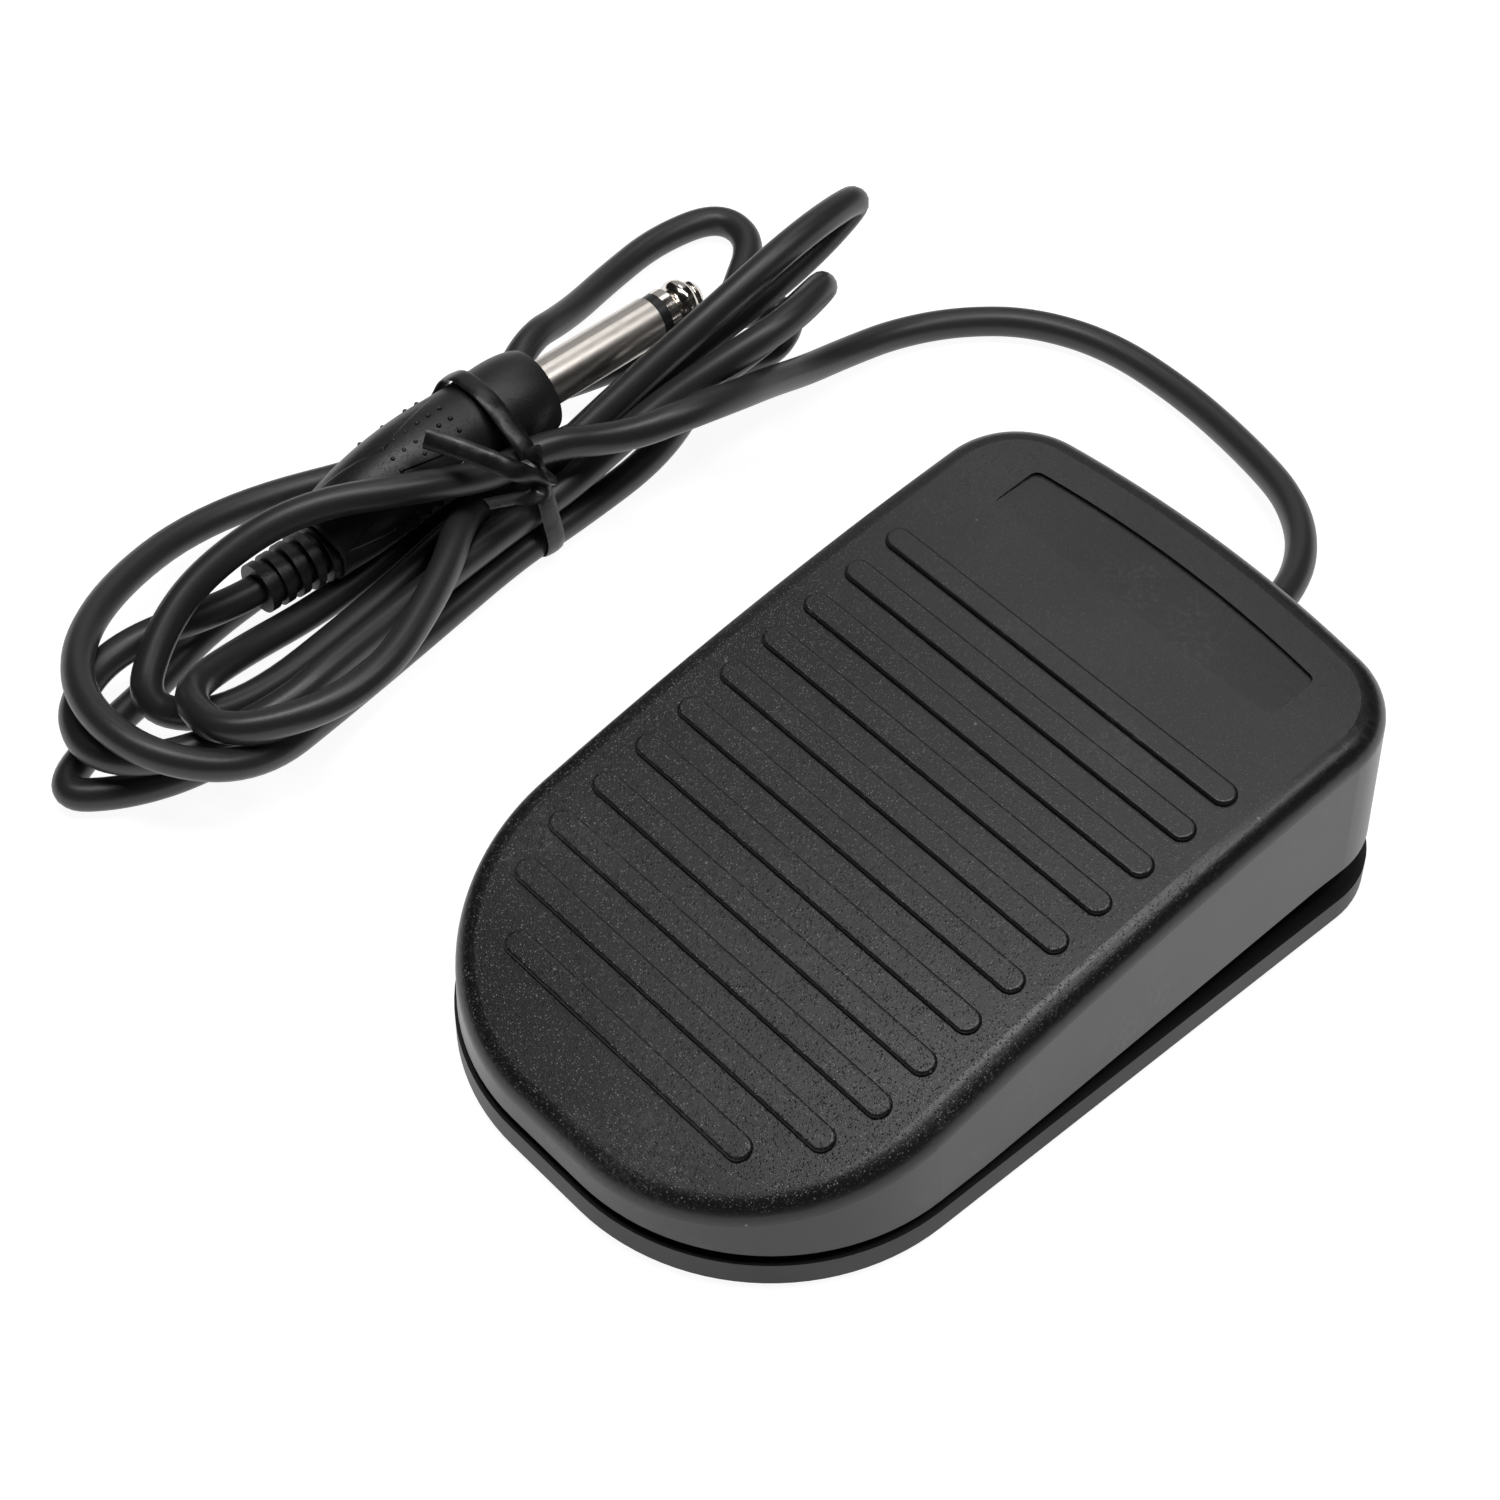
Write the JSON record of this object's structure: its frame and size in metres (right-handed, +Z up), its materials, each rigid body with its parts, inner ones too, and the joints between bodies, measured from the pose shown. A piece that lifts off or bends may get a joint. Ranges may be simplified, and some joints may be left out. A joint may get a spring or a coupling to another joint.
{
  "type": "foot pedal switch",
  "caption": "Low foot pedal switch with a ribbed sprung cover on a tray, a hanked cord with a twist tie and a quarter-inch mono jack plug.",
  "frame": {"origin": "on the floor under the centre of the pedal's box, the cord and its plug left out", "axes": "+X right, +Y towards the end where the cord leaves, +Z up"},
  "size_m": [0.1403, 0.1492, 0.03],
  "materials": {
    "cover_plastic": "fine grained moulded black with a faint sparkle",
    "tray_plastic": "moulded black, finer grain than the cover",
    "foot_rubber": "matt",
    "steel": "zinc plated",
    "spring_steel": "drawn wire",
    "washer_fibre": "red fibre",
    "switch_plastic": "moulded",
    "plunger_plastic": "smooth",
    "terminal_brass": "tinned brass",
    "cord_pvc": "satin black sheath",
    "bush_rubber": "matt",
    "signal_wire_red": "smooth sheath",
    "ground_wire_white": "smooth sheath",
    "tie_plastic": "smooth film over wire",
    "plug_plastic": "moulded with small raised dots",
    "plug_nickel": "bright nickel",
    "insulator_black": "smooth ring"
  },
  "bodies": {
    "base": {"base_tray": "tray_plastic", "rubber_feet": "foot_rubber", "hinge_pin": "steel", "hinge_clips": "steel", "return_spring": "spring_steel", "switch_case": "switch_plastic", "switch_case_lid": "switch_plastic", "switch_terminals": "terminal_brass", "switch_screws": "steel", "cable_bush": "bush_rubber", "inner_cable": "cord_pvc", "cable_clamp": "tray_plastic", "clamp_screws": "steel", "signal_wire": "signal_wire_red", "ground_wire": "ground_wire_white", "cord_lead": "cord_pvc", "cord_hank": "cord_pvc", "cord_tie": "tie_plastic", "plug_handle": "plug_plastic", "plug_relief": "plug_plastic", "plug_sleeve": "plug_nickel", "plug_insulator": "insulator_black", "plug_tip": "plug_nickel"},
    "pedal": {"pedal_cover": "cover_plastic", "stop_screws": "steel", "stop_washers": "washer_fibre"},
    "switch_lever": {"switch_lever": "spring_steel"},
    "switch_plunger": {"switch_plunger": "plunger_plastic"}
  },
  "joints": [
    {"name": "pedal_hinge", "type": "hinge", "parent": "base", "child": "pedal", "pos_m": [0, -0.038, 0.0072], "axis": [-1, 0, 0], "range_deg": [0, 2.8], "stiffness_Nm_per_rad": 2.4, "springref_deg": -3.72, "deforming": ["return_spring"]},
    {"name": "lever_hinge", "type": "hinge", "parent": "base", "child": "switch_lever", "pos_m": [0, 0.015, 0.01895], "axis": [-1, 0, 0], "range_deg": [0, 12.3]},
    {"name": "plunger_slide", "type": "slide", "parent": "base", "child": "switch_plunger", "axis": [0, 0, -1], "range_m": [0, 0.0009]}
  ],
  "couplings": [
    {"joint": "lever_hinge", "follows": "pedal_hinge", "ratio": 4.35},
    {"joint": "plunger_slide", "follows": "pedal_hinge", "m_per_rad": 0.0178}
  ]
}
